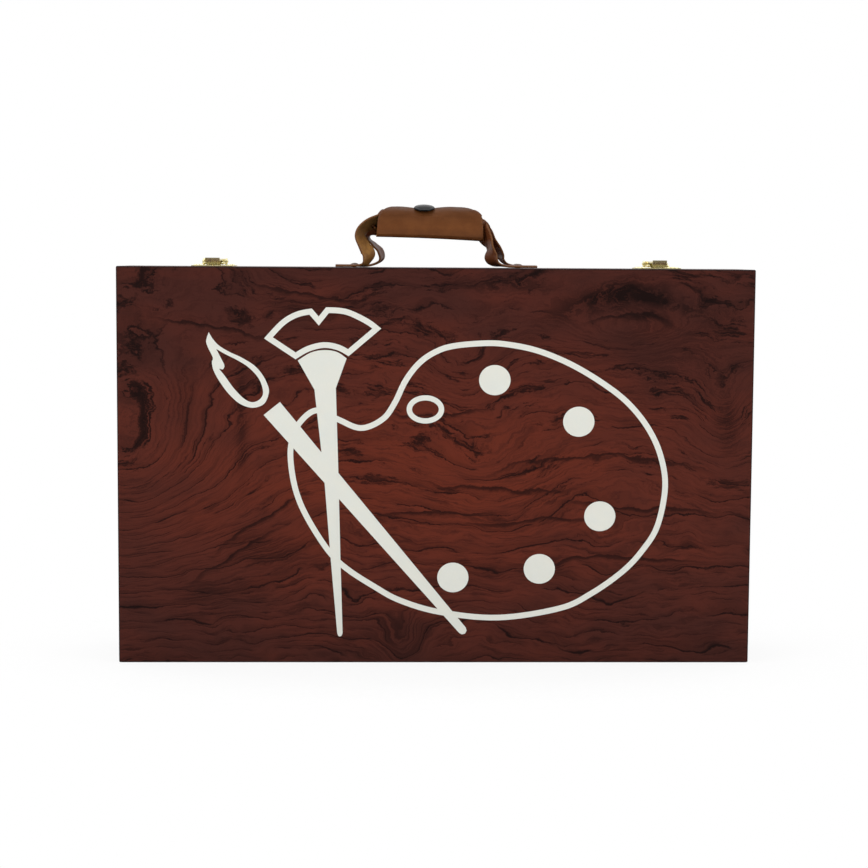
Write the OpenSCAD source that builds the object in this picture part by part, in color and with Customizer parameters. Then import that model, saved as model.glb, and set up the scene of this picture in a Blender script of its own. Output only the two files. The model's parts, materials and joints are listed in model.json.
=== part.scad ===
// Table-top box easel: a slim hinged wooden case, standing on its hinge edge.
// +X runs along the case, -Y is the lid's face, +Z is up towards the carrying handle.
// The origin is the middle of the case's footprint, at the level it stands on.

/* [Case] */
// Length of the case
case_w = 400; // [360:10:440]
// Height of the case, from the hinge edge to the handle edge
case_h = 250; // [240:5:280]
// Depth of the closed case
case_d = 76; // [76:1:90]
// Depth of the lid, out of the case's depth
lid_d = 28; // [28:1:32]
// Thickness of the side boards
wall = 8; // [8:0.5:9]
// Thickness of the lid's and base's panels
panel_t = 4; // [3:0.5:4]
// Gap between the closed lid and base
seam_gap = 0.4; // [0.4:0.1:0.8]

/* [Hinges] */
// Distance of each hinge from the middle
hinge_x = 130; // [115:5:150]
// Length of each hinge
hinge_len = 40; // [30:5:50]
// Outer radius of the hinge barrel
barrel_r = 2.4; // [2.2:0.1:2.5]
// Radius of the hinge pin
hinge_pin_r = 1.1; // [1:0.1:1.2]

/* [Latches] */
// Distance of each latch from the middle
latch_x = 141; // [100:1:150]
// Width of the latch plates
latch_plate_w = 26; // [22:1:30]
// Width of the lever's thumb tab
thumb_w = 9; // [7:0.5:10]

/* [Handle] */
// Length of the leather grip
grip_len = 67; // [60:1:70]
// Height of the grip above the case, to its underside
grip_clear = 18; // [14:1:24]
// Height of the grip itself
grip_h = 20.5; // [18:0.5:24]
// Width of the straps
strap_w = 12.5; // [10:0.5:14]
// Thickness of the strap leather
strap_t = 1.6; // [1.2:0.1:1.8]
// Diameter of the snap cap
snap_d = 12.7; // [10:0.1:15]
// Place of the snap along the grip
snap_x = -7.8; // [-20:0.1:12]

/* [Inside] */
// Length of the canvas ledge
ledge_w = 200; // [120:10:210]
// Length of the palette
palette_w = 340; // [280:10:340]
// Height of the brush trough's divider above the bottom board
trough_h = 58; // [45:1:60]
// Diameter of the palette's thumb hole
thumb_hole_d = 34; // [28:1:38]
// Radius of the clamping knobs
knob_r = 9; // [7:0.5:9]

/* [Hidden] */
$fn = 48;
// how far a cutter runs past the face it cuts
over = 1;
// clearance between parts that slide or turn past each other
free_gap = 0.3;
// radial clearance of a pin in its bore
run_fit = 0.06;

// case planes
face_y = -case_d / 2;
back_y = case_d / 2;
seam_y = face_y + lid_d;
lid_y0 = face_y + panel_t;
lid_y1 = seam_y - seam_gap / 2;
base_y0 = seam_y + seam_gap / 2;
base_y1 = back_y - panel_t;
side_x = case_w / 2;
in_x = side_x - wall;
in_top = case_h - wall;
lid_fingers = 3;
base_fingers = 5;

// hinge line, set up inside the bottom edge so that the case stands flat
axis_z = 2.7;
leaf_t = 0.8;
leaf_reach = 13;
groove_r = barrel_r + 0.4;
knuckles = 5;
seam_chamfer = 4;
hinge_screw_r = 1.2;
hinge_screw_dx = 14;
hinge_screw_dy = 8.5;

// latch: every y and z below is where it lies on the closed case
plate_t = 0.8;
latch_pivot_y = seam_y + 6;
latch_pivot_z = case_h + 3.2;
latch_pin_r = 0.8;
lever_barrel_r = 1.6;
lever_half = 6.2;
ear_r = 1.9;
ear_t = 1.2;
loop_y = latch_pivot_y - 3.5;
loop_z = latch_pivot_z - 1.2;
wire_r = 0.7;
loop_half = 6.4;
loop_front_y = seam_y - 8.2;
lip_y = seam_y - 7;
nose_y = latch_pivot_y - 22;
nose_top = case_h + 5.5;
nail_dx = latch_plate_w / 2 - 2.5;
nail_r = 0.6;
nail_len = 5;
plate_back_y = seam_y + 18;
catch_front_y = seam_y - 20;
base_nail_y = [seam_y + 2.8, seam_y + 15.5];
lid_nail_y = [seam_y - 17.5, seam_y - 3.5];

// handle: the grip sits off the middle, and the straps lean that way as they rise
grip_mid = -4;
tab_x = 63.5;
tab_y = 8;
rivet_x = 52;
rivet_r = 3;
rivet_shank_r = 1.2;
rivet_len = 7;
grip_z = case_h + grip_clear;
grip_top = grip_z + grip_h;
hide_t = 1.4;
// outer radius of the grip's arched top, and of the layer under the flap
flap_r = 6.8;
wrap_r = flap_r - hide_t - free_gap;
arch_z = grip_top - flap_r;
// how far the flap's tongue comes down past the top, in degrees
tongue_angle = 40;
snap_y = seam_y - 0.8;
snap_seat = 0.4;
snap_shank_r = 1.5;
// half a strap, from its tab to the grip: each place as x off the middle, y off the
// seam and z above the case, then the direction of the strap's width there
strap_half = [
  [[tab_x, tab_y, strap_t / 2], [0, 1, 0]],
  [[46, tab_y, strap_t / 2], [0, 1, 0]],
  [[41.5, 7.9, 3], [0.1, 1, 0]],
  [[39.5, 7.7, 9], [0.25, 0.9, 0.1]],
  [[42, 7.4, 16], [0.3, 0.75, 0.45]],
  [[42, 6.3, 23], [0.15, 0.35, 0.85]],
  [[38, 3.2, 27], [0, 0.1, 1]],
  [[34, 1.5, 27.3], [0, 0, 1]]
];

// lid fittings
mast_half = 20;
mast_front = lid_y0 + 9;
tee_depth = 4.5;
tee_half = 5.7;
slot_half = 3.5;
mast_z0 = wall + 1;
mast_z1 = in_top - 1;
slot_z0 = 12;
slot_z1 = in_top - 4;
bolt_r = 3;
bolt_head = 10;
tongue_y0 = mast_front + free_gap;
tongue_y1 = tongue_y0 + 4;
tongue_half = 12;
jaw_y1 = seam_y - 2;
lip_t = 2.5;
ledge_bolt_z = 19.5;
ledge_z = 30;
ledge_t = 4;
clamp_bolt_z = in_top - 16;
clamp_z = in_top - 34;
clamp_half = 20;
knob_len = 12;
pad_t = 0.8;

// base fittings
palette_y0 = seam_y + 10.5;
palette_t = 3.5;
palette_y1 = palette_y0 + palette_t;
divider_t = 6;
divider_z = wall + trough_h;
divider_x = 64;
palette_z0 = divider_z + divider_t + 1;
palette_z1 = in_top - 2;
thumb_hole_at = [112, 150];
button_x = 120;
button_z = divider_z + divider_t / 2;
button_half = 4;
button_t = 3;
button_screw_r = 1.2;

// stays: two equal bars and the two case halves make a parallelogram
stay_dy = 12;
stay_dz = 80;
stay_pivot_z = axis_z + stay_dz;
knee_z = axis_z + 2 * stay_dz;
bar_half = 5;
bar_t = 1.6;
base_bar_x = in_x - 2.1;
lid_bar_x = in_x - 4.3;
knee_r = 2;
knee_clear = 0.25;
stay_screw_r = 1.5;

module box(lo, hi) {
  translate(lo)
    cube(hi - lo);
}

module rod_x(x0, x1, y, z, r) {
  translate([x0, y, z])
    rotate([0, 90, 0])
      cylinder(h = x1 - x0, r = r);
}

module rod_y(x, y0, y1, z, r) {
  translate([x, y1, z])
    rotate([90, 0, 0])
      cylinder(h = y1 - y0, r = r);
}

module rod_z(x, y, z0, z1, r) {
  translate([x, y, z0])
    cylinder(h = z1 - z0, r = r);
}

// a [y, z] outline, drawn out along x
module prism_x(x0, x1, outline) {
  translate([x0, 0, 0])
    rotate([90, 0, 90])
      linear_extrude(height = x1 - x0)
        polygon(outline);
}

// an [x, z] outline or 2D shape, drawn out along y
module slab_y(y0, y1) {
  translate([0, y1, 0])
    rotate([90, 0, 0])
      linear_extrude(height = y1 - y0)
        children();
}

module on_side(side) {
  mirror([side < 0 ? 1 : 0, 0, 0])
    children();
}

// ---- case boards ----

// the slots at the ends of a board, or the tabs that fill them
function finger_y(y0, y1, count, i) = y0 + (y1 - y0) * i / count;

module seam_edge_cut() {
  prism_x(-side_x - over, side_x + over, [
    [seam_y - seam_chamfer - seam_gap / 2 - over, -over],
    [seam_y, seam_chamfer + seam_gap / 2],
    [seam_y + seam_chamfer + seam_gap / 2 + over, -over]
  ]);
}

module rail(y0, y1, count, z0) {
  difference() {
    box([-side_x, y0, z0], [side_x, y1, z0 + wall]);
    for (side = [-1, 1], i = [1:2:count - 1])
      on_side(side)
        box([in_x, finger_y(y0, y1, count, i), z0 - over],
            [side_x + over, finger_y(y0, y1, count, i + 1), z0 + wall + over]);
  }
}

module side_board(side, y0, y1, count) {
  difference() {
    on_side(side)
      union() {
        box([in_x, y0, wall], [side_x, y1, in_top]);
        for (i = [1:2:count - 1])
          box([in_x, finger_y(y0, y1, count, i), 0],
              [side_x, finger_y(y0, y1, count, i + 1), case_h]);
      }
    seam_edge_cut();
  }
}

module case_panel(y0, y1) {
  box([-side_x, y0, 0], [side_x, y1, case_h]);
}

// room for the two hinges in a bottom board; half is -1 for the lid's and 1 for the base's
module hinge_mortises(half, y0, y1) {
  for (side = [-1, 1])
    on_side(side) {
      rod_x(hinge_x - hinge_len / 2 - free_gap, hinge_x + hinge_len / 2 + free_gap,
            seam_y, axis_z, groove_r);
      box([hinge_x - hinge_len / 2, y0, axis_z], [hinge_x + hinge_len / 2, y1, wall + over]);
      for (dx = [-hinge_screw_dx, hinge_screw_dx])
        rod_z(hinge_x + dx, hinge_screw_y(half), 2, wall + over, hinge_screw_r);
    }
}

function hinge_screw_y(half) = seam_y + half * hinge_screw_dy;

module top_nail_holes(nail_y, rivet_y) {
  for (side = [-1, 1]) {
    for (dx = [-nail_dx, nail_dx], y = nail_y)
      rod_z(side * latch_x + dx, y, case_h - nail_len, case_h + over, nail_r);
    rod_z(side * rivet_x, rivet_y, case_h - rivet_len, case_h + over, rivet_shank_r);
  }
}

module base_panel() {
  color("#4a241c")
    case_panel(base_y1, back_y);
}

module base_rail_top() {
  color("#55281f")
    difference() {
      rail(base_y0, base_y1, base_fingers, in_top);
      top_nail_holes(base_nail_y, seam_y + tab_y);
    }
}

module base_rail_bottom() {
  color("#55281f")
    difference() {
      rail(base_y0, base_y1, base_fingers, 0);
      seam_edge_cut();
      hinge_mortises(1, base_y0 - over, base_y0 + leaf_t);
    }
}

module base_side(side) {
  color("#4d251d")
    difference() {
      side_board(side, base_y0, base_y1, base_fingers);
      on_side(side)
        rod_x(in_x - over, side_x - 2, seam_y + stay_dy, stay_pivot_z, stay_screw_r);
    }
}

module lid_panel() {
  color("#54271f")
    case_panel(face_y, lid_y0);
}

module lid_rail_top() {
  color("#55281f")
    difference() {
      rail(lid_y0, lid_y1, lid_fingers, in_top);
      top_nail_holes(lid_nail_y, seam_y - tab_y);
    }
}

module lid_rail_bottom() {
  color("#55281f")
    difference() {
      rail(lid_y0, lid_y1, lid_fingers, 0);
      seam_edge_cut();
      hinge_mortises(-1, lid_y1 - leaf_t, lid_y1 + over);
    }
}

module lid_side(side) {
  color("#4d251d")
    difference() {
      side_board(side, lid_y0, lid_y1, lid_fingers);
      on_side(side)
        rod_x(in_x - over, side_x - 2, seam_y - stay_dy, stay_pivot_z, stay_screw_r);
    }
}

// ---- hinges ----

function knuckle_x(i) = hinge_x - hinge_len / 2 + i * hinge_len / knuckles;

// half is -1 for the lid's leaf and 1 for the base's; own and other are knuckle numbers
module hinge_leaf(side, half, own, other, bore_r, end_gap) {
  leaf_y = half < 0 ? lid_y1 - leaf_t : base_y0;
  foot_y = [half < 0 ? lid_y1 - leaf_reach : base_y0, half < 0 ? lid_y1 : base_y0 + leaf_reach];
  x0 = hinge_x - hinge_len / 2;
  color("#c9a94a")
    on_side(side)
      difference() {
        union() {
          difference() {
            union() {
              box([x0, leaf_y, axis_z], [x0 + hinge_len, leaf_y + leaf_t, wall + leaf_t]);
              box([x0, foot_y[0], wall], [x0 + hinge_len, foot_y[1], wall + leaf_t]);
            }
            for (i = other)
              rod_x(knuckle_x(i) - (half < 0 ? 0 : free_gap), knuckle_x(i + 1), seam_y, axis_z,
                    barrel_r + free_gap);
          }
          for (i = own)
            rod_x(knuckle_x(i) + end_gap, knuckle_x(i + 1) - end_gap, seam_y, axis_z, barrel_r);
        }
        rod_x(x0 - over, x0 + hinge_len + over, seam_y, axis_z, bore_r);
        for (dx = [-hinge_screw_dx, hinge_screw_dx])
          rod_z(hinge_x + dx, hinge_screw_y(half), wall - over, wall + leaf_t + over, hinge_screw_r);
      }
}

module hinge_leaf_base(side) {
  hinge_leaf(side, 1, [0, 2, 4], [1, 3], hinge_pin_r, 0);
}

module hinge_leaf_lid(side) {
  hinge_leaf(side, -1, [1, 3], [0, 2, 4], hinge_pin_r + run_fit, free_gap);
}

module hinge_pins() {
  color("#b8963c")
    for (side = [-1, 1])
      on_side(side)
        rod_x(hinge_x - hinge_len / 2, hinge_x + hinge_len / 2, seam_y, axis_z, hinge_pin_r);
}

module hinge_screws(half) {
  color("#d2b45a")
    for (side = [-1, 1], dx = [-hinge_screw_dx, hinge_screw_dx])
      on_side(side)
        translate([hinge_x + dx, hinge_screw_y(half), 0]) {
          rod_z(0, 0, 2, wall + leaf_t, hinge_screw_r);
          slotted_head(wall + leaf_t, 2.2);
        }
}

// a low screw head standing on height z, with a driver slot
module slotted_head(z, r) {
  difference() {
    translate([0, 0, z])
      cylinder(h = 0.8, r1 = r, r2 = r * 0.7);
    box([-r, -0.25, z + 0.4], [r, 0.25, z + 2]);
  }
}

// ---- latches ----

module latch_plate(side) {
  ear_x = lever_half + free_gap;
  color("#d8bd62")
    translate([side * latch_x, 0, 0])
      difference() {
        union() {
          box([-latch_plate_w / 2, base_y0 + 0.4, case_h],
              [latch_plate_w / 2, plate_back_y, case_h + plate_t]);
          for (s = [-1, 1])
            on_side(s) {
              rod_x(ear_x, ear_x + ear_t, latch_pivot_y, latch_pivot_z, ear_r);
              box([ear_x, latch_pivot_y - ear_r, case_h],
                  [ear_x + ear_t, latch_pivot_y + ear_r, latch_pivot_z]);
            }
        }
        rod_x(-ear_x - 2 * ear_t, ear_x + 2 * ear_t, latch_pivot_y, latch_pivot_z, latch_pin_r);
        plate_nail_holes(base_nail_y);
      }
}

module plate_nail_holes(nail_y) {
  for (dx = [-nail_dx, nail_dx], y = nail_y)
    rod_z(dx, y, case_h - over, case_h + plate_t + over, nail_r);
}

module catch_plate(side) {
  lip_half = 4.5;
  color("#d8bd62")
    translate([side * latch_x, 0, 0])
      difference() {
        union() {
          box([-latch_plate_w / 2, catch_front_y, case_h],
              [latch_plate_w / 2, lid_y1 - 0.4, case_h + plate_t]);
          prism_x(-lip_half, lip_half, [
            [lip_y + 1.4, case_h],
            [lip_y + 0.4, case_h + 2.6],
            [lip_y - 0.3, case_h + 2.6],
            [lip_y, case_h]
          ]);
        }
        plate_nail_holes(lid_nail_y);
      }
}

module latch_pins() {
  reach = lever_half + free_gap + ear_t + 0.5;
  color("#b8963c")
    for (side = [-1, 1])
      rod_x(side * latch_x - reach, side * latch_x + reach, latch_pivot_y, latch_pivot_z, latch_pin_r);
}

module plate_nails(nail_y) {
  color("#e0c878")
    for (side = [-1, 1], dx = [-nail_dx, nail_dx], y = nail_y)
      translate([side * latch_x + dx, y, 0]) {
        rod_z(0, 0, case_h - nail_len, case_h + plate_t, nail_r);
        dome(case_h + plate_t, 1.4, 0.6);
      }
}

// a round head with base radius r and height h, standing on height z
module dome(z, r, h) {
  ball_r = (r * r + h * h) / (2 * h);
  translate([0, 0, z])
    intersection() {
      translate([0, 0, h - ball_r])
        sphere(r = ball_r, $fn = 64);
      cylinder(h = h, r = r);
    }
}

module latch_lever(side) {
  arm_t = 0.9;
  lug_half = 5.2;
  color("#e3cb74")
    translate([side * latch_x, 0, 0])
      difference() {
        union() {
          rod_x(-lever_half, lever_half, latch_pivot_y, latch_pivot_z, lever_barrel_r);
          // arm, which narrows towards the thumb tab
          intersection() {
            prism_x(-lever_half, lever_half, [
              [latch_pivot_y, latch_pivot_z + lever_barrel_r],
              [latch_pivot_y, latch_pivot_z + lever_barrel_r - arm_t],
              [nose_y + arm_t, nose_top - 2 * arm_t],
              [nose_y + arm_t, nose_top - arm_t]
            ]);
            translate([0, 0, case_h])
              linear_extrude(height = 10)
                polygon([
                  [-lever_half, latch_pivot_y + over],
                  [-thumb_w / 2, nose_y],
                  [thumb_w / 2, nose_y],
                  [lever_half, latch_pivot_y + over]
                ]);
          }
          // thumb tab
          prism_x(-thumb_w / 2, thumb_w / 2, [
            [nose_y + 1.4, case_h + plate_t + 0.5],
            [nose_y + 0.3, case_h + plate_t + 0.5],
            [nose_y - 0.6, nose_top],
            [nose_y + 0.6, nose_top]
          ]);
          // lugs that carry the loop
          for (s = [-1, 1])
            on_side(s)
              box([lug_half - 1, loop_y - 0.9, loop_z - 0.9], [lug_half, loop_y + 0.9, latch_pivot_z + 1]);
        }
        rod_x(-10, 10, latch_pivot_y, latch_pivot_z, latch_pin_r + run_fit);
        rod_x(-10, 10, loop_y, loop_z, wire_r + run_fit);
      }
}

module latch_loop(side) {
  color("#d0b052")
    translate([side * latch_x, 0, 0]) {
      rod_x(-loop_half, loop_half, loop_y, loop_z, wire_r);
      rod_x(-loop_half, loop_half, loop_front_y, loop_z, wire_r);
      for (x = [-loop_half, loop_half])
        union() {
          rod_y(x, loop_front_y, loop_y, loop_z, wire_r);
          for (y = [loop_front_y, loop_y])
            translate([x, y, loop_z])
              sphere(r = wire_r, $fn = 32);
        }
    }
}

// ---- handle ----

function unit(v) = v / norm(v);

// a strap swept through stations, each a place and the direction of its width
function strap_tangent(path, i) =
  unit(path[min(i + 1, len(path) - 1)][0] - path[max(i - 1, 0)][0]);

function strap_ring(path, i) =
  let (
    t = strap_tangent(path, i),
    w = unit(path[i][1] - t * (t * path[i][1])),
    n = cross(t, w)
  )
  [for (corner = [[-1, -1], [1, -1], [1, 1], [-1, 1]])
    path[i][0] + w * corner[0] * strap_w / 2 + n * corner[1] * strap_t / 2];

// the whole strap, from one tab over the grip to the other; half is -1 for the lid's
function strap_lean(z) = grip_mid * z / strap_half[len(strap_half) - 1][0][2];

function strap_station(s, side, half) = [
  [side * s[0][0] + strap_lean(s[0][2]), seam_y + half * s[0][1], case_h + s[0][2]],
  [side * s[1][0], half * s[1][1], s[1][2]]
];

function strap_path(half) = concat(
  [for (s = strap_half) strap_station(s, -1, half)],
  [for (i = [len(strap_half) - 1:-1:0]) strap_station(strap_half[i], 1, half)]
);

module strap(half) {
  path = strap_path(half);
  rings = len(path);
  points = [for (i = [0:rings - 1]) each strap_ring(path, i)];
  walls = [for (i = [0:rings - 2], k = [0:3]) let (a = 4 * i + k, b = 4 * i + (k + 1) % 4)
    each [[a, b, a + 4], [b, b + 4, a + 4]]];
  last = 4 * rings - 4;
  ends = [[3, 2, 1, 0], [last, last + 1, last + 2, last + 3]];
  difference() {
    polyhedron(points = points, faces = concat(walls, ends));
    for (side = [-1, 1])
      rod_z(side * rivet_x, seam_y + half * tab_y, case_h - over, case_h + 4, rivet_shank_r);
  }
}

module handle_strap_rear() {
  color("#5e3520")
    strap(1);
}

module handle_strap_front() {
  color("#6b3d22")
    strap(-1);
}

module strap_rivets(half) {
  color("#3b3230")
    for (side = [-1, 1])
      translate([side * rivet_x, seam_y + half * tab_y, 0]) {
        rod_z(0, 0, case_h - rivet_len, case_h + strap_t, rivet_shank_r);
        dome(case_h + strap_t, rivet_r, 1.2);
      }
}

// one layer of hide over the grip's top: a ring about the arch's centre, cut to the
// part between two angles, which are counted from straight up towards +Y
module arch_layer(r, from, to) {
  slice = 2 * flap_r;
  intersection() {
    difference() {
      circle(r = r);
      circle(r = r - hide_t);
    }
    polygon(concat([[0, 0]], [for (i = [0:4])
      let (a = from + (to - from) * i / 4)
      slice * [sin(a), cos(a)]]));
  }
}

// a [y, z] shape about the arch's centre, drawn out along the grip
module along_grip() {
  translate([grip_mid - grip_len / 2, seam_y, arch_z])
    rotate([90, 0, 90])
      linear_extrude(height = grip_len)
        children();
}

// the back, underside and inner top of the grip
module grip_wrap() {
  foot = grip_z - arch_z;
  color("#5c3119")
    difference() {
      along_grip() {
        arch_layer(wrap_r, -60, 90);
        translate([wrap_r - hide_t, foot])
          square([hide_t, over / 10 - foot]);
        translate([-wrap_r, foot])
          square([2 * wrap_r, hide_t]);
      }
      rod_z(snap_x, snap_y, arch_z, grip_top, snap_shank_r);
    }
}

module snap_stud() {
  top = arch_z + wrap_r;
  foot = top - hide_t - 1.5;
  color("#2a2a2c")
    union() {
      rod_z(snap_x, snap_y, foot, top - 0.2, snap_shank_r);
      rod_z(snap_x, snap_y, foot, foot + 0.3, 1.9);
    }
}

// the front of the grip, and the tongue that snaps down over its top
module grip_flap() {
  foot = grip_z - arch_z;
  color("#6b3a1d")
    difference() {
      along_grip() {
        arch_layer(flap_r, -90, tongue_angle);
        translate([-flap_r, foot])
          square([hide_t, over / 10 - foot]);
      }
      rod_z(snap_x, snap_y, arch_z, grip_top + over, snap_shank_r);
      rod_z(snap_x, snap_y, grip_top - snap_seat, grip_top + over, snap_d / 2);
    }
}

module snap_cap() {
  color("#1d1d1f") {
    rod_z(snap_x, snap_y, grip_top - hide_t, grip_top - snap_seat, snap_shank_r);
    translate([snap_x, snap_y, 0])
      dome(grip_top - snap_seat, snap_d / 2, 1.8);
  }
}

// ---- lid fittings ----

module mast_track() {
  color("#d9b98c")
    difference() {
      box([-mast_half, lid_y0, mast_z0], [mast_half, mast_front, mast_z1]);
      box([-tee_half, lid_y0 - over, slot_z0], [tee_half, lid_y0 + tee_depth, slot_z1]);
      box([-slot_half, lid_y0, slot_z0], [slot_half, mast_front + over, slot_z1]);
    }
}

module clamp_bolt_at(z) {
  color("#c9a94a") {
    box([-bolt_head / 2, lid_y0 + 0.4, z - bolt_head / 2],
        [bolt_head / 2, lid_y0 + tee_depth - 0.5, z + bolt_head / 2]);
    rod_y(0, lid_y0 + 2, tongue_y1 + knob_len + 1.5, z, bolt_r);
  }
}

// a round knob with finger flutes, its back at y
module star_knob(y, z) {
  flutes = 8;
  translate([0, y, z])
    rotate([-90, 0, 0])
      difference() {
        rotate_extrude()
          polygon([
            [bolt_r + run_fit, 0],
            [knob_r * 0.62, 0],
            [knob_r * 0.62, 2.4],
            [knob_r, 3.4],
            [knob_r, knob_len - 1.6],
            [knob_r - 1.6, knob_len],
            [bolt_r + run_fit, knob_len]
          ]);
        for (i = [0:flutes - 1])
          rotate([0, 0, i * 360 / flutes])
            translate([knob_r + 1.6, 0, 2.5])
              cylinder(h = knob_len, r = 2.6);
      }
}

module canvas_ledge() {
  color("#d2ae7c")
    difference() {
      union() {
        box([-tongue_half, tongue_y0, ledge_bolt_z - 8], [tongue_half, tongue_y1, ledge_z + 2]);
        box([-ledge_w / 2, tongue_y0, ledge_z], [ledge_w / 2, jaw_y1, ledge_z + ledge_t]);
        box([-ledge_w / 2, tongue_y0, ledge_z], [ledge_w / 2, tongue_y1, ledge_z + 10]);
        box([-ledge_w / 2, jaw_y1 - lip_t, ledge_z], [ledge_w / 2, jaw_y1, ledge_z + ledge_t + 4]);
      }
      rod_y(0, tongue_y0 - over, tongue_y1 + over, ledge_bolt_z, bolt_r);
    }
}

module canvas_clamp() {
  color("#d2ae7c")
    difference() {
      union() {
        box([-tongue_half, tongue_y0, clamp_z], [tongue_half, tongue_y1, clamp_bolt_z + 12]);
        box([-clamp_half, tongue_y0, clamp_z], [clamp_half, jaw_y1, clamp_z + 5]);
        box([-clamp_half, jaw_y1 - lip_t, clamp_z - 7], [clamp_half, jaw_y1, clamp_z + 5]);
      }
      rod_y(0, tongue_y0 - over, tongue_y1 + over, clamp_bolt_z, bolt_r);
    }
}

module clamp_pad() {
  color("#3f5a3c")
    box([-clamp_half + 1, tongue_y0 + 0.5, clamp_z - pad_t], [clamp_half - 1, jaw_y1 - lip_t, clamp_z]);
}

// ---- base fittings ----

module divider_long() {
  color("#d9b98c")
    difference() {
      box([-in_x, palette_y1, divider_z], [in_x, base_y1, divider_z + divider_t]);
      for (side = [-1, 1])
        rod_y(side * button_x, palette_y1 - over, palette_y1 + 9, button_z, button_screw_r);
    }
}

module divider_short(side) {
  color("#d5b384")
    translate([side * divider_x, 0, 0])
      box([-divider_t / 2, palette_y1, divider_z + divider_t], [divider_t / 2, base_y1, in_top]);
}

// a grooved strip under the top board that holds the palette's upper edge
module palette_runner() {
  reach = palette_w / 2 - 10;
  drop = 6;
  inner = divider_x - divider_t / 2;
  outer = divider_x + divider_t / 2;
  color("#d5b384")
    difference() {
      for (x = [[-reach, -outer], [-inner, inner], [outer, reach]])
        box([x[0], palette_y0 - 3.5, in_top - drop], [x[1], palette_y1 + 4, in_top]);
      box([-case_w, palette_y0 - free_gap, in_top - drop - over],
          [case_w, palette_y1 + free_gap, palette_z1 + 0.5]);
    }
}

module palette() {
  corner = 10;
  mid_z = (palette_z0 + palette_z1) / 2;
  half_z = (palette_z1 - palette_z0) / 2;
  color("#c79a62")
    slab_y(palette_y0, palette_y1)
      difference() {
        union() {
          translate([-palette_w / 2 + corner, palette_z0])
            square([palette_w - 2 * corner, 2 * half_z]);
          translate([-palette_w / 2, palette_z0 + corner])
            square([palette_w, 2 * (half_z - corner)]);
          for (x = [-1, 1], z = [-1, 1])
            translate([x * (palette_w / 2 - corner), mid_z + z * (half_z - corner)])
              circle(r = corner);
        }
        translate(thumb_hole_at)
          circle(d = thumb_hole_d);
      }
}

module palette_button(side) {
  bar_y1 = palette_y0 - free_gap;
  color("#cfae5a")
    translate([side * button_x, 0, button_z])
      difference() {
        union() {
          slab_y(bar_y1 - button_t, bar_y1) {
            circle(r = button_half);
            translate([-button_half, 0])
              square([2 * button_half, 11]);
            translate([0, 11])
              circle(r = button_half);
          }
          rod_y(0, bar_y1 - over, palette_y1 - 0.1, 0, 2.8);
        }
        rod_y(0, bar_y1 - 2 * button_t, palette_y1 + over, 0, button_screw_r + run_fit);
      }
}

module palette_button_screws() {
  front = palette_y0 - free_gap - button_t - free_gap;
  color("#d2b45a")
    for (side = [-1, 1])
      translate([side * button_x, front, button_z])
        rotate([90, 0, 0]) {
          rod_z(0, 0, front - palette_y1 - 9, 0, button_screw_r);
          slotted_head(0, 2.6);
        }
}

// ---- stays ----

// a flat bar with round ends between two [y, z] places, with one face at x
module bar(x, from, to) {
  reach = to - from;
  translate([x, from[0], from[1]])
    rotate([90, 0, 90])
      linear_extrude(height = bar_t) {
        circle(r = bar_half);
        translate(reach)
          circle(r = bar_half);
        rotate(atan2(reach[1], reach[0]))
          translate([0, -bar_half])
            square([norm(reach), 2 * bar_half]);
      }
}

knee = [seam_y, knee_z];
base_pivot = [seam_y + stay_dy, stay_pivot_z];
lid_pivot = [seam_y - stay_dy, stay_pivot_z];

module stay_base(side) {
  color("#cdae54")
    on_side(side)
      union() {
        difference() {
          bar(base_bar_x, base_pivot, knee);
          rod_x(base_bar_x - over, in_x, base_pivot[0], base_pivot[1], stay_screw_r + run_fit);
        }
        // knee stud, which the lid's bar and the nut go on
        rod_x(base_bar_x - 9, base_bar_x + over, knee[0], knee[1], knee_r);
      }
}

module stay_lid(side) {
  color("#cdae54")
    on_side(side)
      difference() {
        bar(lid_bar_x, lid_pivot, knee);
        rod_x(lid_bar_x - over, in_x, lid_pivot[0], lid_pivot[1], stay_screw_r + run_fit);
        rod_x(lid_bar_x - over, in_x, knee[0], knee[1], knee_r + knee_clear);
      }
}

module stay_screw(pivot, bar_x) {
  color("#d2b45a")
    for (side = [-1, 1])
      on_side(side) {
        rod_x(bar_x - free_gap, side_x - 2, pivot[0], pivot[1], stay_screw_r);
        // washer between the bar and the board
        rod_x(bar_x + bar_t + free_gap, in_x, pivot[0], pivot[1], 4);
        translate([bar_x - free_gap, pivot[0], pivot[1]])
          rotate([0, -90, 0])
            slotted_head(0, 3.4);
      }
}

module knee_nut(side) {
  x1 = lid_bar_x - free_gap;
  color("#e0c878")
    on_side(side)
      translate([0, knee[0], knee[1]])
        difference() {
          union() {
            rod_x(x1 - 5, x1, 0, 0, 4.2);
            translate([x1 - 6.5, 0, 0])
              rotate([90, 0, 90])
                linear_extrude(height = 2.2) {
                  square([13, 5], center = true);
                  for (end = [-1, 1])
                    translate([end * 6.5, 0])
                      circle(r = 3.6);
                }
          }
          rod_x(x1 - 10, x1 + over, 0, 0, knee_r + run_fit);
        }
}

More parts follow.
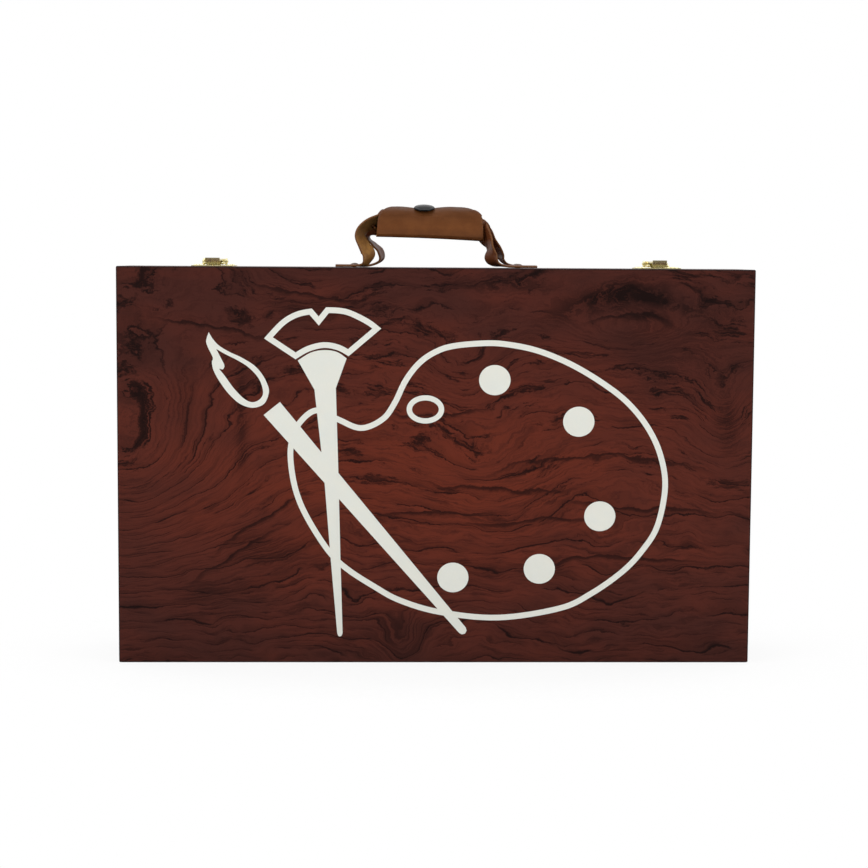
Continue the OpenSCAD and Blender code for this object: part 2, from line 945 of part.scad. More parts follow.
base_panel();
base_rail_top();
base_rail_bottom();
base_side(-1);  // base_side_left
base_side(1);  // base_side_right
divider_long();
divider_short(-1);  // divider_short_left
divider_short(1);  // divider_short_right
palette_runner();
palette();
palette_button(-1);  // palette_button_left
palette_button(1);  // palette_button_right
palette_button_screws();
latch_plate(-1);  // latch_plate_left
latch_plate(1);  // latch_plate_right
latch_pins();
plate_nails(base_nail_y);  // latch_nails_base
latch_lever(-1);  // latch_lever_left
latch_lever(1);  // latch_lever_right
latch_loop(-1);  // latch_loop_left
latch_loop(1);  // latch_loop_right
catch_plate(-1);  // catch_plate_left
catch_plate(1);  // catch_plate_right
plate_nails(lid_nail_y);  // latch_nails_lid
handle_strap_rear();
handle_strap_front();
strap_rivets(1);  // strap_rivets_rear
strap_rivets(-1);  // strap_rivets_front
grip_wrap();
grip_flap();
snap_cap();
snap_stud();
hinge_leaf_base(-1);  // hinge_leaf_base_left
hinge_leaf_base(1);  // hinge_leaf_base_right
hinge_leaf_lid(-1);  // hinge_leaf_lid_left
hinge_leaf_lid(1);  // hinge_leaf_lid_right
hinge_pins();
hinge_screws(1);  // hinge_screws_base
hinge_screws(-1);  // hinge_screws_lid
lid_panel();
lid_rail_top();
lid_rail_bottom();
lid_side(-1);  // lid_side_left
lid_side(1);  // lid_side_right
mast_track();
canvas_ledge();
clamp_bolt_at(ledge_bolt_z);  // ledge_bolt
color("#b9884c") star_knob(tongue_y1 + free_gap, ledge_bolt_z);  // ledge_knob
canvas_clamp();
clamp_bolt_at(clamp_bolt_z);  // clamp_bolt
clamp_pad();
color("#b9884c") star_knob(tongue_y1 + free_gap, clamp_bolt_z);  // clamp_knob
stay_base(-1);  // stay_base_left
stay_base(1);  // stay_base_right
stay_lid(-1);  // stay_lid_left
stay_lid(1);  // stay_lid_right
stay_screw(base_pivot, base_bar_x);  // stay_screws_base
stay_screw(lid_pivot, lid_bar_x);  // stay_screws_lid
knee_nut(-1);  // knee_nut_left
knee_nut(1);  // knee_nut_right
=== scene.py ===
"""Table-top box easel, closed and standing on its hinge edge, in a plain pale studio.

Lengths written in millimetres are turned into metres by mm() or by the mesh builders.
The case runs along X, its lid faces -Y and its handle is up.
"""

import json
import math
from types import SimpleNamespace

import bmesh
import bpy
from mathutils import Matrix, Vector
from mathutils.geometry import tessellate_polygon


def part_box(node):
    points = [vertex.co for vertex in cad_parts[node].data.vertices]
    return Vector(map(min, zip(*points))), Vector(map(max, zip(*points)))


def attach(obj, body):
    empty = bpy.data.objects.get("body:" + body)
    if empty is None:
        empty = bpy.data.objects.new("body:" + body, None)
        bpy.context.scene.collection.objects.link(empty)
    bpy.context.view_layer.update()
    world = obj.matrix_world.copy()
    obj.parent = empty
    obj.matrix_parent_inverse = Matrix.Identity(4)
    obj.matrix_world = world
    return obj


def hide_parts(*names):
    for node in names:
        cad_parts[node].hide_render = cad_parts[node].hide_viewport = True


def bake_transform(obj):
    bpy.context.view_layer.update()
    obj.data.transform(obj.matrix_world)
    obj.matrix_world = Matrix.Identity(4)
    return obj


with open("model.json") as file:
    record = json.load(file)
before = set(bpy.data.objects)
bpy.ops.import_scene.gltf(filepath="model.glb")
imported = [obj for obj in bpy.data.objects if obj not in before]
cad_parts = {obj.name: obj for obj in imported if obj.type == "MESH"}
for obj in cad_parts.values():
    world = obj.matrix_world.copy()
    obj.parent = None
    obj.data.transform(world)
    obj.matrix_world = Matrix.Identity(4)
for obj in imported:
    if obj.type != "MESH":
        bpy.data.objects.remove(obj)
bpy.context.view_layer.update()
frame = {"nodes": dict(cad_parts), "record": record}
nodes = frame["nodes"]

MM = 0.001
CASE_LO, CASE_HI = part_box("lid_panel")
FACE_Y = CASE_LO.y
HALF_W = CASE_HI.x
CASE_H = CASE_HI.z
SEAM_Y = -0.010
WALL = 0.008


def mm(*values):
    return Vector([v * MM for v in values])


# ---- camera, floor and light ----

CAMERA_PLACE = (-0.037, -1.247, 0.256)
CAMERA_TURN = (-1.682, -5.201, 0.361)      # yaw, pitch and roll in degrees
CAMERA_LENS, CAMERA_SENSOR = 80.09, 36
LIGHT_TARGET = (0, 0, 0.12)
# Name, place, target, size in m and power in W
LIGHTS = [
    ("key", (-1.5, -1.2, 1.5), LIGHT_TARGET, (1.2, 1.2), 21.5),
    ("fill", (1.7, -1.1, 1.0), LIGHT_TARGET, (1.2, 1.2), 15),
    ("top", (0, 0.3, 1.9), (0, 0, 0.1), (1.6, 1.0), 9),
]


def make_camera():
    """The photograph's view. The plain view transform keeps the studio's white white."""
    yaw, pitch, roll = (math.radians(a) for a in CAMERA_TURN)
    forward = Vector((-math.sin(yaw) * math.cos(pitch), math.cos(yaw) * math.cos(pitch),
                      math.sin(pitch)))
    right = Vector((math.cos(yaw), math.sin(yaw), 0))
    up = right.cross(forward)
    tilted_right = right * math.cos(roll) + up * math.sin(roll)
    tilted_up = up * math.cos(roll) - right * math.sin(roll)
    data = bpy.data.cameras.new("camera")
    data.sensor_width = CAMERA_SENSOR
    data.lens = CAMERA_LENS
    data.clip_start, data.clip_end = 0.05, 50
    camera = bpy.data.objects.new("camera", data)
    columns = (tilted_right, tilted_up, -forward, CAMERA_PLACE)
    camera.matrix_world = Matrix([[column[row] for column in columns] for row in range(3)]
                                 + [(0, 0, 0, 1)])
    bpy.context.scene.collection.objects.link(camera)
    bpy.context.scene.camera = camera
    bpy.context.scene.view_settings.view_transform = "Standard"


def make_area_light(name, place, target, size, power):
    data = bpy.data.lights.new(name, "AREA")
    data.shape = "RECTANGLE"
    data.size, data.size_y = size
    data.energy = power
    light = bpy.data.objects.new(name, data)
    light.location = place
    light.rotation_euler = (Vector(target) - Vector(place)).to_track_quat("-Z", "Y").to_euler()
    bpy.context.scene.collection.objects.link(light)


def make_world():
    """White studio, dim behind the camera, so that the dark lid mirrors little of it."""
    world = bpy.data.worlds.new("studio")
    bpy.context.scene.world = world
    world.use_nodes = True
    tree = world.node_tree
    tree.nodes.clear()
    add = Graph(tree)
    direction = add.node("ShaderNodeTexCoord").outputs["Generated"]
    _, y, z = add.split(direction)
    glow = add.ramp(add.plus(add.times(y, 0.5), add.times(z, 0.35)),
                    [(0.0, (0.32, 0.32, 0.32)), (0.25, (0.66, 0.66, 0.66)), (0.6, (0.85, 0.85, 0.85))])
    seen = add.node("ShaderNodeLightPath").outputs["Is Camera Ray"]
    background = add.node("ShaderNodeBackground")
    background.inputs["Strength"].default_value = 1.0
    add.link(add.mix(seen, glow, (1, 1, 1)), background.inputs["Color"])
    add.link(background.outputs[0], add.node("ShaderNodeOutputWorld").inputs["Surface"])


FLOOR_HALF, FLOOR_DROP = 6, 0.0004          # in m; just under the case, so they don't touch
PATCH_IN, PATCH_OUT, PATCH_ALPHA = 0.16, 0.34, 0.13


def make_floor():
    """A pale floor. The camera sees only a soft-edged patch of it, and the rest as white, so
    there is no horizon, and an open lid shows below the edge that the case stands on."""
    mesh = bpy.data.meshes.new("floor")
    corners = [(x * FLOOR_HALF, y * FLOOR_HALF, 0) for x, y in ((-1, -1), (1, -1), (1, 1), (-1, 1))]
    mesh.from_pydata(corners, [], [(0, 1, 2, 3)])
    floor = bpy.data.objects.new("floor", mesh)
    floor.location.z = -FLOOR_DROP
    bpy.context.scene.collection.objects.link(floor)
    material, add, shader = new_material("floor_white", Roughness=0.9, Specular_IOR_Level=0.1)
    where = add.node("ShaderNodeTexCoord").outputs["Object"]
    add.link(add.mix(add.noise(where, 3.0), (0.93, 0.93, 0.93), (0.9, 0.9, 0.9)),
             shader["Base Color"])
    away = add.vector("LENGTH", add.vector("MULTIPLY", where, (1.0, 2.0, 1.0)))
    patch = add.span(away, PATCH_IN, PATCH_OUT, PATCH_ALPHA, 0.0)
    bounce = add.node("ShaderNodeLightPath").outputs["Is Diffuse Ray"]
    add.link(add.larger(patch, bounce), shader["Alpha"])
    floor.data.materials.append(material)


# ---- node graphs ----

class Graph:
    """Short names for adding shader nodes. Any input may be a socket or a plain value."""

    def __init__(self, tree):
        self.tree = tree

    def node(self, kind, **settings):
        made = self.tree.nodes.new(kind)
        for key, value in settings.items():
            setattr(made, key, value)
        return made

    def link(self, source, target):
        if isinstance(source, bpy.types.NodeSocket):
            self.tree.links.new(source, target)
        elif target.type == "RGBA":
            target.default_value = (*source[:3], 1)
        else:
            target.default_value = source

    def math(self, operation, a, b=0.0, clamp=False):
        made = self.node("ShaderNodeMath", operation=operation, use_clamp=clamp)
        self.link(a, made.inputs[0])
        self.link(b, made.inputs[1])
        return made.outputs[0]

    def plus(self, a, b):
        return self.math("ADD", a, b)

    def minus(self, a, b, clamp=False):
        return self.math("SUBTRACT", a, b, clamp)

    def times(self, a, b):
        return self.math("MULTIPLY", a, b)

    def larger(self, a, b):
        return self.math("MAXIMUM", a, b)

    def vector(self, operation, a, b=(0, 0, 0), scale=1.0):
        made = self.node("ShaderNodeVectorMath", operation=operation)
        self.link(a, made.inputs[0])
        if operation == "SCALE":
            self.link(scale, made.inputs["Scale"])
        else:
            self.link(b, made.inputs[1])
        return made.outputs["Value" if operation in ("DOT_PRODUCT", "LENGTH") else "Vector"]

    def split(self, vector):
        made = self.node("ShaderNodeSeparateXYZ")
        self.link(vector, made.inputs[0])
        return made.outputs

    def join(self, x, y, z):
        made = self.node("ShaderNodeCombineXYZ")
        for value, socket in zip((x, y, z), made.inputs):
            self.link(value, socket)
        return made.outputs[0]

    def noise(self, where, scale, detail=2.0, roughness=0.5, distortion=0.0):
        """Noise from 0 to 1. scale is one number or one for each axis."""
        if not isinstance(scale, (int, float)):
            where, scale = self.vector("MULTIPLY", where, scale), 1.0
        made = self.node("ShaderNodeTexNoise")
        self.link(where, made.inputs["Vector"])
        for name, value in (("Scale", scale), ("Detail", detail), ("Roughness", roughness),
                            ("Distortion", distortion)):
            made.inputs[name].default_value = value
        return made.outputs["Fac"]

    def voronoi(self, where, scale):
        made = self.node("ShaderNodeTexVoronoi", feature="F1")
        self.link(where, made.inputs["Vector"])
        made.inputs["Scale"].default_value = scale
        return made.outputs["Distance"]

    def span(self, value, from_lo, from_hi, to_lo=0.0, to_hi=1.0, smooth=True):
        """Maps a value from one range to another, and holds it at the ends."""
        made = self.node("ShaderNodeMapRange",
                         interpolation_type="SMOOTHSTEP" if smooth else "LINEAR")
        self.link(value, made.inputs["Value"])
        for name, number in (("From Min", from_lo), ("From Max", from_hi),
                             ("To Min", to_lo), ("To Max", to_hi)):
            self.link(number, made.inputs[name])
        return made.outputs[0]

    def ramp(self, value, stops):
        made = self.node("ShaderNodeValToRGB")
        self.link(value, made.inputs[0])
        elements = made.color_ramp.elements
        while len(elements) < len(stops):
            elements.new(0.5)
        for element, (position, colour) in zip(elements, stops):
            element.position = position
            element.color = (*colour, 1)
        return made.outputs["Color"]

    def mix(self, factor, a, b, blend="MIX"):
        made = self.node("ShaderNodeMix", data_type="RGBA", blend_type=blend)
        self.link(factor, made.inputs[0])
        self.link(a, made.inputs[6])
        self.link(b, made.inputs[7])
        return made.outputs[2]

    def bump(self, height, strength, distance):
        made = self.node("ShaderNodeBump")
        made.inputs["Strength"].default_value = strength
        made.inputs["Distance"].default_value = distance
        self.link(height, made.inputs["Height"])
        return made.outputs["Normal"]

    def place_mm(self):
        """The point on the piece at rest, in millimetres."""
        return self.vector("SCALE", self.node("ShaderNodeTexCoord").outputs["Object"],
                           scale=1000.0)


def new_material(name, **constants):
    """A Principled material: its graph, its shader's inputs. constants are set on them."""
    material = bpy.data.materials.new(name)
    material.use_nodes = True
    shader = material.node_tree.nodes["Principled BSDF"]
    for key, value in constants.items():
        socket = shader.inputs[key.replace("_", " ")]
        socket.default_value = (*value, 1) if socket.type == "RGBA" else value
    return material, Graph(material.node_tree), shader.inputs


def srgb(r, g, b):
    return tuple(((c / 255 + 0.055) / 1.055) ** 2.4 if c > 10 else c / 255 / 12.92
                 for c in (r, g, b))


# ---- materials ----

# The film's colours. The edge, middle and lit-centre tones are painted light: darker towards the
# face's edges, redder and brighter in its middle.
FILM_SHADED_EDGE = srgb(70, 35, 29)
FILM_MIDDLE = srgb(92, 41, 30)
FILM_LIT_CENTRE = srgb(104, 44, 29)
FILM_HAIR = srgb(52, 24, 20)
FILM_BLACK = srgb(21, 10, 9)

# A painted pool of light, redder and brighter in the middle of the face, and where the film's lines
# are finer: place x, z; radii x, z, in mm
PAINTED_LIGHT_POOL = ((-6, 114), (188, 76))
FINE_AREAS = [((-70, 30), (110, 40)), ((120, 40), (90, 50))]
# Hills and hollows that bend the film's figure: place x, z; radii x, z; height, all in mm
FIGURE_HILLS = [
    ((-196, 132), (62, 60), 105),
    ((-84, 258), (40, 26), 22),
    ((-150, 262), (60, 26), -22),
    ((122, 212), (32, 13), 26),
    ((124, 248), (60, 22), -16),
    ((118, 122), (52, 34), -20),
    ((30, 130), (34, 28), 16),
    ((-20, 8), (16, 24), 20),
    ((22, 24), (40, 24), -12),
    ((-66, 92), (44, 36), -14),
    ((180, 160), (16, 30), 24),
    ((18, 190), (24, 28), 20),
]
# Dark smudges: place x, z; radii x, z; strength; how much the ends hang below the middle
DARK_PATCHES = [
    ((120, 234), (46, 8), 1.3, 0.006),
    ((150, 200), (50, 34), 0.35, 0.0),
    ((132, 220), (20, 4), 0.75, 0.010),
    ((-106, 70), (26, 12), 0.55, -0.004),
    ((-140, 44), (28, 10), 0.45, -0.004),
    ((36, 241), (32, 4), 0.85, 0.002),
    ((-76, 222), (34, 4), 0.8, -0.004),
    ((-158, 168), (5, 30), 0.6, 0.0),
    ((-122, 156), (4, 34), 0.7, 0.0),
    ((-22, 20), (16, 14), 0.65, 0.0),
    ((184, 156), (7, 18), 0.75, 0.0),
    ((60, 57), (44, 5), 0.4, 0.0),
]
# Black veins: x from and to; z at the middle; slope; bow; thickness
VEINS = [
    ((4, 196), 133, 0.02, -0.0024, 0.9),
    ((-30, 110), 110, -0.05, 0.0016, 0.8),
    ((60, 196), 100, -0.06, 0.0, 0.8),
    ((-2, 120), 92, 0.04, -0.0012, 0.7),
    ((-60, 60), 97, 0.0, -0.0020, 0.7),
    ((20, 196), 68, 0.01, -0.0014, 0.8),
    ((-150, -70), 92, 0.62, -0.0030, 0.8),
    ((-164, -90), 70, 0.66, -0.0020, 0.7),
    ((-40, 44), 158, 0.06, 0.0040, 0.8),
    ((84, 160), 222, -0.02, -0.0080, 0.8),
    ((-190, -90), 212, -0.16, 0.0006, 0.7),
    ((-130, -30), 232, -0.10, 0.0030, 0.8),
]


def hill(add, x, z, place, radii, bow=0.0):
    """1 at a place and falling to 0 round it. bow makes its ends hang below its middle."""
    away = add.minus(x, place[0])
    rise = add.minus(z, place[1])
    if bow:
        rise = add.plus(rise, add.times(add.times(away, away), bow))
    dx, dz = add.math("DIVIDE", away, radii[0]), add.math("DIVIDE", rise, radii[1])
    square = add.plus(add.times(dx, dx), add.times(dz, dz))
    return add.math("POWER", math.e, add.times(square, -1.0))


def centred_noise(add, where, scale, height, detail=2.0, roughness=0.5):
    """Noise of about -height to height."""
    full_swing = 2.6                       # most of the noise lies between 0.3 and 0.7
    return add.times(add.minus(add.noise(where, scale, detail, roughness), 0.5),
                     full_swing * height)


def dark_lines(add, level, period, sharp, soft, wander, shade=0.3):
    """Lines where level passes a whole period: crisp on one side, feathered on the other."""
    phase = add.math("FRACT", add.plus(add.math("DIVIDE", level, period), wander))
    crisp = add.span(phase, 0.0, sharp, 1.0, 0.0)
    lead = add.span(phase, 1.0 - sharp * 0.6, 1.0)
    under = add.times(add.span(phase, 0.0, soft, 1.0, 0.0), shade)
    return add.larger(add.larger(crisp, lead), under)


def vein(add, x, z, reach, middle_z, slope, bow, thick):
    """One long black line with a soft underside, which fades out at its ends."""
    away = add.minus(x, (reach[0] + reach[1]) / 2)
    half = (reach[1] - reach[0]) / 2
    course = add.plus(add.times(away, slope), add.times(add.times(away, away), bow))
    above = add.minus(add.minus(z, middle_z), course)
    line = add.span(above, 0.0, thick, 1.0, 0.0)
    line = add.times(line, add.span(above, -3.6, -0.4, 0.0, 1.0))
    ends = add.span(add.math("ABSOLUTE", away), half * 0.3, half, 0.8, 0.0)
    return add.times(line, ends)


def figure_place(add, where):
    """Where a point of the case, in mm, lies in the figure. low is 1 in the lower half,
    bent_z is z with a fine waver, and level is that again, bent by the hills."""
    x, y, z = add.split(where)
    facing = add.split(add.node("ShaderNodeTexCoord").outputs["Normal"])
    on_top = add.span(add.math("ABSOLUTE", facing[2]), 0.6, 0.8)
    z = add.plus(z, add.times(on_top, add.times(y, 0.9)))
    low = add.span(z, 84, 134, 1.0, 0.0)
    level = z
    for place, radii, height in FIGURE_HILLS:
        level = add.plus(level, add.times(hill(add, x, z, place, radii), height))
    slow = centred_noise(add, where, (0.016, 0.02, 0.026), 8.0, 1.0)
    wave = centred_noise(add, where, (0.055, 0.07, 0.09), 3.4, 1.0)
    jag = add.times(centred_noise(add, where, (0.19, 0.25, 0.3), 2.3, 4.0, 0.66),
                    add.minus(1.0, add.times(low, 0.45)))
    waver = add.plus(wave, jag)
    return SimpleNamespace(x=x, y=y, z=z, low=low, bent_z=add.plus(z, waver),
                           level=add.plus(add.plus(level, slow), waver))


def along_figure(add, at, *scales):
    """Noise coordinates that run along the figure: scales for x, y and level."""
    return add.join(*(add.times(value, scale)
                      for value, scale in zip((at.x, at.y, at.level), scales)))


def figure_lines(add, at):
    """How dark the wide lines, the thin lines and the veins are."""
    along = along_figure(add, at, 0.028, 0.03, 0.09)
    fade = add.noise(along, 1.0, 3.0, 0.6)
    wide = dark_lines(add, at.level, 14.0, 0.07, 0.5,
                      add.times(add.noise(along, 0.55, 1.0), 1.8))
    wide = add.times(wide, add.span(add.plus(fade, add.times(at.low, 0.07)), 0.44, 0.56))
    fine_here = add.larger(*(hill(add, at.x, at.z, *area) for area in FINE_AREAS))
    thin = dark_lines(add, at.level, 5.4, 0.12, 0.6,
                      add.times(add.noise(along, 0.9, 1.0), 2.2), shade=0.45)
    thin = add.times(thin, add.span(add.noise(along, 2.3, 2.0), 0.4, 0.58))
    thin = add.times(thin, add.larger(add.span(fine_here, 0.0, 0.8, 0.1, 0.85),
                                      add.times(at.low, 0.6)))
    lines = add.larger(wide, thin)
    for shape in VEINS:
        lines = add.larger(lines, vein(add, at.x, at.bent_z, *shape))
    return lines


def figure_patches(add, at, hair):
    """How dark the short streaks and the smudges are. The hair lines break them up."""
    streak = add.noise(along_figure(add, at, 0.034, 0.04, 0.125), 1.0, 6.0, 0.7)
    patches = add.times(add.span(streak, 0.545, 0.61),
                        add.minus(0.9, add.times(at.low, 0.62)))
    for place, radii, strength, bow in DARK_PATCHES:
        smudge = hill(add, at.x, at.bent_z, place, radii, bow)
        patches = add.larger(patches, add.times(smudge, strength))
    return add.times(patches, add.span(hair, 0.36, 0.56, 0.35, 1.0))


def film_figure(add, where):
    """Colour of the dark film, and how dark its lines are, from the point in mm."""
    at = figure_place(add, where)
    hair = add.noise(along_figure(add, at, 0.06, 0.06, 0.95), 1.0, 3.0, 0.65)
    light = add.times(add.minus(1.0, figure_lines(add, at), clamp=True),
                      add.minus(1.0, figure_patches(add, at, hair), clamp=True))
    dark = add.minus(1.0, light)
    # Painted light: a pool of redder, brighter colour in the middle of the face, darker towards its
    # edges, with random tone on top.
    light_pool_and_tone = add.plus(hill(add, at.x, at.z, *PAINTED_LIGHT_POOL),
                      centred_noise(add, where, (0.02, 0.03, 0.05), 0.3, 2.0))
    base = add.ramp(light_pool_and_tone, [(0.0, FILM_SHADED_EDGE), (0.5, FILM_MIDDLE), (1.0, FILM_LIT_CENTRE)])
    base = add.mix(add.span(hair, 0.42, 0.7, 0.0, 0.5), base, FILM_HAIR)
    return add.mix(add.times(dark, 0.93), base, FILM_BLACK), dark


def light_timber(add, where, light, dark, ring=0.28):
    """Colour of a plain pale timber, with its lines along X."""
    bend = centred_noise(add, where, (0.004, 0.03, 0.03), 5.0, 2.0)
    lines = add.noise(add.vector("ADD", add.vector("MULTIPLY", where, (0.006, ring, ring)),
                                 add.join(0.0, bend, 0.0)), 1.0, 4.0, 0.6)
    pores = add.noise(where, (0.25, 4.0, 4.0), 2.0, 0.5)
    colour = add.mix(add.span(lines, 0.35, 0.68), light, dark)
    return add.mix(add.span(pores, 0.58, 0.7, 0.0, 0.3), colour,
                   tuple(c * 0.6 for c in dark)), pores


def near_edge(add, x, y, z):
    """1 at the case's outer edges and 0 beyond about a millimetre from them."""
    from_side = add.minus(HALF_W / MM, add.math("ABSOLUTE", x))
    from_end = add.math("MINIMUM", z, add.minus(CASE_H / MM, z))
    from_face = add.minus(-FACE_Y / MM, add.math("ABSOLUTE", y))
    second_nearest = add.larger(
        add.math("MINIMUM", from_side, from_end),
        add.math("MINIMUM", add.larger(from_side, from_end), from_face))
    return add.span(second_nearest, 0.3, 1.1, 0.75, 0.0)


def bare_timber_here(add, x, y, z):
    """1 inside the case and on its rim, where there is no film."""
    skin, inner_y, rim_half = 0.15, 34.0, 0.24
    inside = add.times(
        add.times(add.math("LESS_THAN", add.math("ABSOLUTE", x), (HALF_W - WALL) / MM + skin),
                  add.math("LESS_THAN", add.math("ABSOLUTE", y), inner_y + skin)),
        add.times(add.math("GREATER_THAN", z, WALL / MM - skin),
                  add.math("LESS_THAN", z, (CASE_H - WALL) / MM + skin)))
    from_seam = add.math("ABSOLUTE", add.minus(y, SEAM_Y / MM))
    return add.larger(inside, add.math("LESS_THAN", from_seam, rim_half))


def case_material():
    """Dark printed film outside; bare pale timber inside and on the rim."""
    material, add, shader = new_material("case_film", Specular_IOR_Level=0.08)
    where = add.place_mm()
    x, y, z = add.split(where)
    film, dark = film_figure(add, where)
    film = add.mix(near_edge(add, x, y, z), film, srgb(26, 18, 19))
    bare, _ = light_timber(add, where, srgb(214, 178, 132), srgb(188, 146, 98))
    bare_here = bare_timber_here(add, x, y, z)
    add.link(add.mix(bare_here, film, bare), shader["Base Color"])
    fine = add.noise(where, 1.6, 2.0, 0.5)
    smooth = add.span(fine, 0.3, 0.7, 0.36, 0.44)
    add.link(add.plus(smooth, add.times(bare_here, 0.18)), shader["Roughness"])
    relief = add.plus(add.times(fine, 0.6), add.times(dark, -0.4))
    add.link(add.bump(relief, 0.12, 0.0002), shader["Normal"])
    return material


def timber_material(name, light, dark, roughness, upright=False):
    material, add, shader = new_material(name, Specular_IOR_Level=0.35)
    where = add.place_mm()
    if upright:
        x, y, z = add.split(where)
        where = add.join(z, y, x)
    colour, pores = light_timber(add, where, light, dark)
    add.link(colour, shader["Base Color"])
    add.link(add.span(pores, 0.3, 0.7, roughness - 0.05, roughness + 0.08), shader["Roughness"])
    add.link(add.bump(pores, 0.25, 0.0002), shader["Normal"])
    return material


def brass_material():
    """Pale yellow plated brass: polished, with faint rolling lines and dull spots."""
    material, add, shader = new_material("brass_plated", Metallic=1.0)
    where = add.place_mm()
    dull = add.noise(where, 0.5, 3.0, 0.6)
    rolled = add.noise(where, (0.3, 9.0, 9.0), 2.0, 0.5)
    add.link(add.mix(add.span(dull, 0.45, 0.75), srgb(250, 240, 190), srgb(226, 204, 132)),
             shader["Base Color"])
    add.link(add.span(dull, 0.3, 0.8, 0.2, 0.36), shader["Roughness"])
    add.link(add.bump(rolled, 0.15, 0.0001), shader["Normal"])
    return material


def leather_material(name, colours, roughness, grain=0.3, painted_shade=None):
    """colours: hollow, body and rubbed tones. grain is how deep the pebbling is. painted_shade is
    painted shade: the share of the colour kept at heights in mm, darker where the hide rolls away from
    the light and where it goes under the grip."""
    material, add, shader = new_material(name, Specular_IOR_Level=0.25)
    where = add.place_mm()
    cells = add.voronoi(add.vector("ADD", where, add.vector(
        "SCALE", add.join(add.noise(where, 1.3, 2.0), add.noise(where, 1.7, 2.0), 0.0),
        scale=0.6)), 1.9)
    tone = add.noise(where, 0.16, 4.0, 0.6)
    crease = add.noise(where, (0.5, 0.5, 2.2), 3.0, 0.6)
    colour = add.mix(add.span(tone, 0.35, 0.68), colours[0], colours[1])
    colour = add.mix(add.span(cells, 0.1, 0.6, 0.5, 0.0), colour, colours[2])
    colour = add.mix(add.span(crease, 0.6, 0.75, 0.0, 0.3), colour, colours[0])
    # Painted shade: the colour is darkened by height, where the rounded grip turns away from the light
    # and where the flesh side goes under the grip.
    if painted_shade:
        height = add.span(add.split(where)[2], painted_shade[0][0], painted_shade[-1][0], smooth=False)
        run = painted_shade[-1][0] - painted_shade[0][0]
        shade_by_height = add.ramp(height, [((z - painted_shade[0][0]) / run, (s, s, s)) for z, s in painted_shade])
        colour = add.mix(1.0, colour, shade_by_height, blend="MULTIPLY")
    add.link(colour, shader["Base Color"])
    add.link(add.span(tone, 0.3, 0.7, roughness, roughness + 0.14), shader["Roughness"])
    height = add.plus(add.times(cells, -1.0), add.times(crease, 0.5))
    add.link(add.bump(height, grain, 0.0003), shader["Normal"])
    return material


def raw_edge_material(name, pale, rubbed):
    """The cut edge of the hide: pale fibre, darker where it was rubbed."""
    material, add, shader = new_material(name, Specular_IOR_Level=0.2, Roughness=0.75)
    where = add.place_mm()
    fibres = add.noise(where, 3.5, 3.0, 0.7)
    add.link(add.mix(fibres, pale, rubbed), shader["Base Color"])
    add.link(add.bump(fibres, 0.4, 0.0002), shader["Normal"])
    return material


def enamel_material(name, colour, worn, roughness, specular):
    """Enamelled metal with fine dust, and a thinner coat where it is worn."""
    material, add, shader = new_material(name, Specular_IOR_Level=specular)
    where = add.place_mm()
    specks = add.noise(where, 2.2, 3.0, 0.7)
    add.link(add.mix(add.span(specks, 0.58, 0.75, 0.0, 0.6), colour, worn), shader["Base Color"])
    add.link(add.span(specks, 0.3, 0.8, roughness, roughness + 0.1), shader["Roughness"])
    add.link(add.bump(specks, 0.03, 0.0001), shader["Normal"])
    return material


def felt_material():
    material, add, shader = new_material("felt_green", Specular_IOR_Level=0.1, Roughness=0.95,
                                         Sheen_Weight=0.4)
    where = add.place_mm()
    hairs = add.noise(where, 4.0, 4.0, 0.75, distortion=1.2)
    add.link(add.mix(hairs, srgb(40, 66, 38), srgb(92, 122, 80)), shader["Base Color"])
    add.link(add.bump(hairs, 0.6, 0.0004), shader["Normal"])
    return material


def ink_material():
    """Screen-printed off-white ink, a little uneven and speckled."""
    material, add, shader = new_material("print_ink", Specular_IOR_Level=0.3)
    where = add.place_mm()
    cloud = add.noise(where, 0.09, 3.0, 0.6)
    specks = add.noise(where, 1.4, 3.0, 0.7)
    colour = add.mix(cloud, srgb(222, 226, 220), srgb(232, 230, 218))
    add.link(add.mix(add.span(specks, 0.56, 0.8, 0.0, 0.5), colour, srgb(240, 240, 236)),
             shader["Base Color"])
    add.link(add.span(specks, 0.3, 0.7, 0.5, 0.62), shader["Roughness"])
    add.link(add.bump(specks, 0.15, 0.0001), shader["Normal"])
    return material


# ---- mesh builders: outlines and paths are in mm ----

STRAP_ACROSS, STRAP_CUP, EDGE_BULGE = 8, 0.35, 1.045
INK_SUNK = 0.02                            # how far the ink's back lies under the lid's face

def add_piece(name, points, faces, materials, face_material=None, smooth=True):
    mesh = bpy.data.meshes.new(name)
    mesh.from_pydata([mm(*p) for p in points], [], faces)
    for material in materials:
        mesh.materials.append(material)
    for polygon in mesh.polygons:
        polygon.use_smooth = smooth
        if face_material:
            polygon.material_index = face_material[polygon.index]
    shape = bmesh.new()
    shape.from_mesh(mesh)
    bmesh.ops.recalc_face_normals(shape, faces=shape.faces)
    shape.to_mesh(mesh)
    shape.free()
    piece = bpy.data.objects.new(name, mesh)
    bpy.context.scene.collection.objects.link(piece)
    return piece


def spline(points, steps, closed=False):
    """Catmull-Rom through points, with that many steps between each two."""
    count = len(points)
    pick = (lambda i: points[i % count]) if closed else (
        lambda i: points[min(max(i, 0), count - 1)])
    out = []
    for i in range(count if closed else count - 1):
        a, b, c, d = (Vector(pick(i + k)) for k in (-1, 0, 1, 2))
        for s in range(steps):
            t = s / steps
            out.append(0.5 * ((2 * b) + (c - a) * t + (2 * a - 5 * b + 4 * c - d) * t * t
                              + (3 * b - a - 3 * c + d) * t ** 3))
    if not closed:
        out.append(Vector(points[-1]))
    return out


def offset_loop(loop, distance):
    """A closed loop moved sideways, with mitred corners."""
    out = []
    for i, here in enumerate(loop):
        before, after = loop[i - 1], loop[(i + 1) % len(loop)]
        d0, d1 = (here - before).normalized(), (after - here).normalized()
        n0, n1 = Vector((-d0.y, d0.x)), Vector((-d1.y, d1.x))
        middle = (n0 + n1).normalized()
        out.append(here + middle * (distance / max(middle.dot(n0), 0.35)))
    return out


